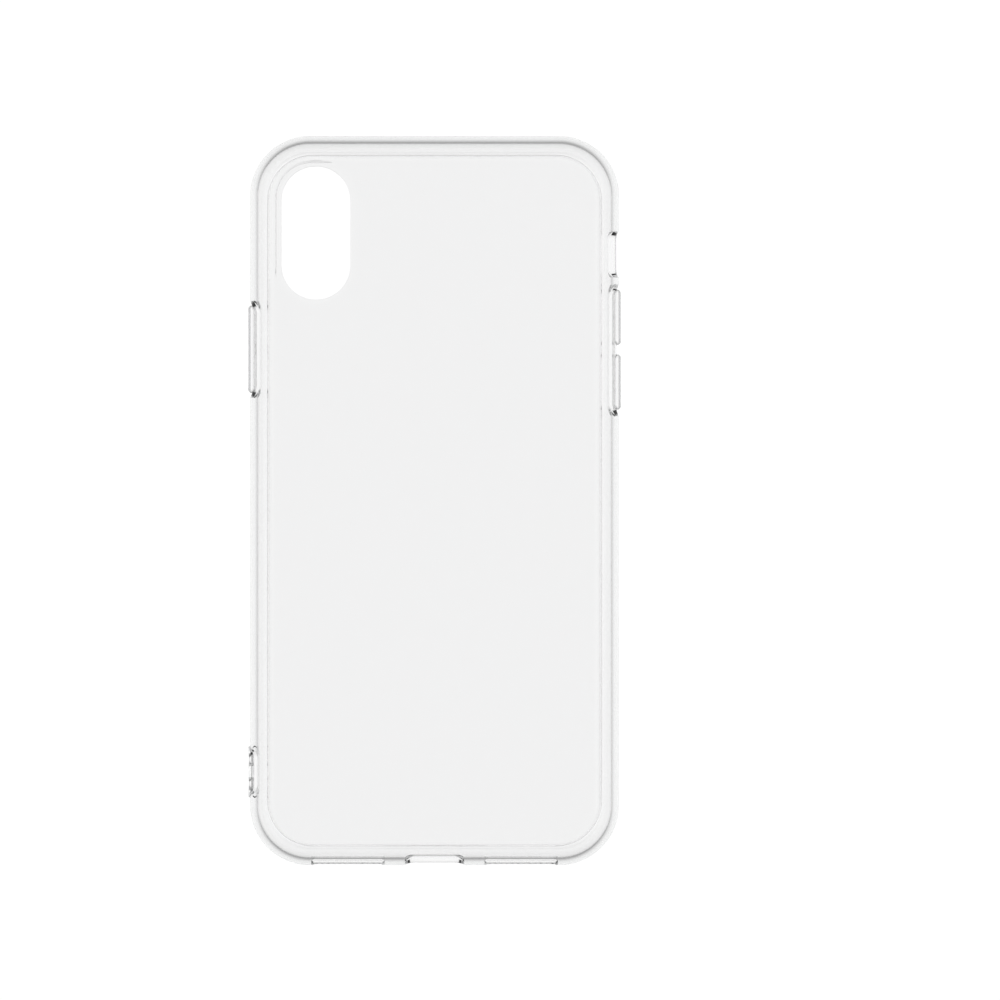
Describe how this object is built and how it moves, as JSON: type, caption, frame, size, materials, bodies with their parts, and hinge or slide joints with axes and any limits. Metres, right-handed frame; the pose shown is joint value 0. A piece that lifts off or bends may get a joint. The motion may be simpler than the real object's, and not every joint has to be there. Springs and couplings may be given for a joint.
{
  "type": "phone case",
  "caption": "Clear slip-on phone case: flexible bumper with a rounded wall and lip, hard clear back with a camera opening, push pads in thin webs, lanyard boss, port, mute and speaker openings.",
  "frame": {"origin": "middle of the front lip plane, which the case lies on, face down", "axes": "+Z from the open front out through the back panel, +Y towards the camera end, -X towards the power pad and lanyard boss, +X towards the mute opening and volume pads"},
  "size_m": [0.075, 0.147, 0.0106],
  "materials": {
    "flexible_clear": "clear gloss moulded elastomer",
    "hard_clear": "clear polished sheet"
  },
  "bodies": {
    "case_shell": {"bumper_frame": "flexible_clear", "back_panel": "hard_clear", "power_button_web": "flexible_clear", "volume_button_web": "flexible_clear"},
    "power_pad": {"power_button": "flexible_clear"},
    "volume_up_pad": {"volume_up_button": "flexible_clear"},
    "volume_down_pad": {"volume_down_button": "flexible_clear"}
  },
  "joints": [
    {"name": "power_press", "type": "slide", "parent": "case_shell", "child": "power_pad", "axis": [1, 0, 0], "range_m": [0, 0.0004], "stiffness_N_per_m": 3000},
    {"name": "volume_up_press", "type": "slide", "parent": "case_shell", "child": "volume_up_pad", "axis": [-1, 0, 0], "range_m": [0, 0.0004], "stiffness_N_per_m": 3000},
    {"name": "volume_down_press", "type": "slide", "parent": "case_shell", "child": "volume_down_pad", "axis": [-1, 0, 0], "range_m": [0, 0.0004], "stiffness_N_per_m": 3000}
  ]
}
